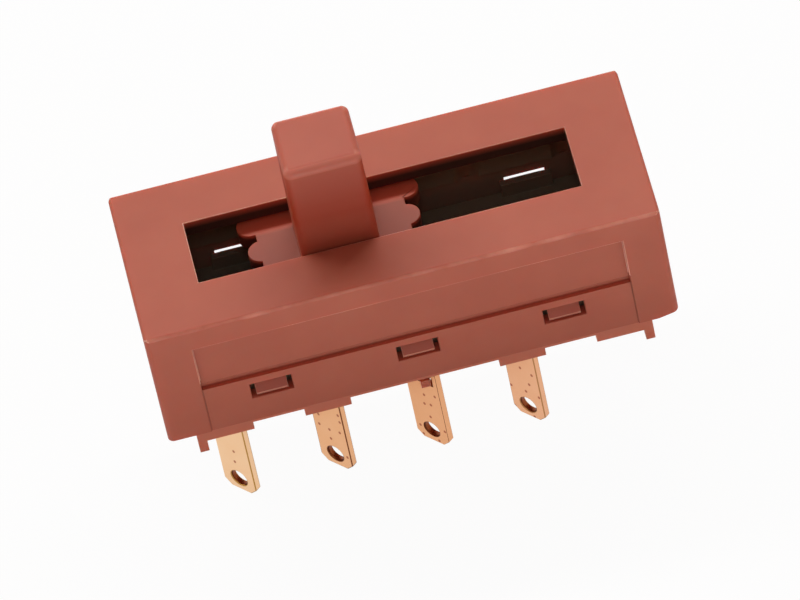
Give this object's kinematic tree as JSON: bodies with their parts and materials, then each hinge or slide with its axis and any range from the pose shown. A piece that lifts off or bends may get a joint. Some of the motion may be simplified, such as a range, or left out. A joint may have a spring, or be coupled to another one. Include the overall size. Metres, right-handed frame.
{
  "type": "range hood speed switch",
  "caption": "Panel slide switch for a range hood: a knob slides in a long slot between detents and bridges one solder lug at a time to a common lug.",
  "frame": {"origin": "middle of the case's top face, the face that lies behind the hood's panel, at z = 0", "axes": "+X along the knob's travel, from the high-speed end to the off end; -Y the side on which the solder lugs stand; +Z out through the panel slot, along the knob"},
  "size_m": [0.042, 0.0166, 0.0316],
  "materials": {
    "case_plastic": "red-brown moulded thermoplastic, satin, fine moulded texture",
    "base_plastic": "red-brown moulded thermoplastic, satin",
    "slider_plastic": "red-brown moulded thermoplastic, satin, slightly polished by use",
    "terminal_strip": "rolled phosphor-bronze strip, pale copper colour, satin",
    "bridge_strip": "rolled phosphor-bronze strip, satin",
    "contact_silver": "silver alloy, bright",
    "spring_wire": "drawn spring steel wire",
    "ball_steel": "polished hardened steel"
  },
  "bodies": {
    "case": {"housing": "case_plastic", "base": "base_plastic", "terminal_high": "terminal_strip", "terminal_medium": "terminal_strip", "terminal_low": "terminal_strip", "terminal_common": "terminal_strip", "fixed_contact_high": "contact_silver", "fixed_contact_medium": "contact_silver", "fixed_contact_low": "contact_silver"},
    "slide": {"slider": "slider_plastic", "contact_spring": "spring_wire", "detent_spring": "spring_wire"},
    "carriage": {"moving_contact": "bridge_strip", "contact_tip_front": "contact_silver", "contact_tip_rear": "contact_silver"},
    "front_ball": {"detent_ball_front": "ball_steel"},
    "rear_ball": {"detent_ball_rear": "ball_steel"}
  },
  "joints": [
    {"name": "speed_slide", "type": "slide", "parent": "case", "child": "slide", "axis": [1, 0, 0], "range_m": [-0.008, 0.016]},
    {"name": "contact_float", "type": "slide", "parent": "slide", "child": "carriage", "axis": [0, 0, 1], "range_m": [0, 0.0003], "stiffness_N_per_m": 100, "springref_m": -0.001, "deforming": ["contact_spring"]},
    {"name": "front_ball_travel", "type": "slide", "parent": "slide", "child": "front_ball", "axis": [0, -1, 0], "range_m": [0, 0.0004], "stiffness_N_per_m": 100, "springref_m": 0.001, "deforming": ["detent_spring"]},
    {"name": "rear_ball_travel", "type": "slide", "parent": "slide", "child": "rear_ball", "axis": [0, 1, 0], "range_m": [0, 0.0004], "stiffness_N_per_m": 100, "springref_m": 0.001}
  ]
}
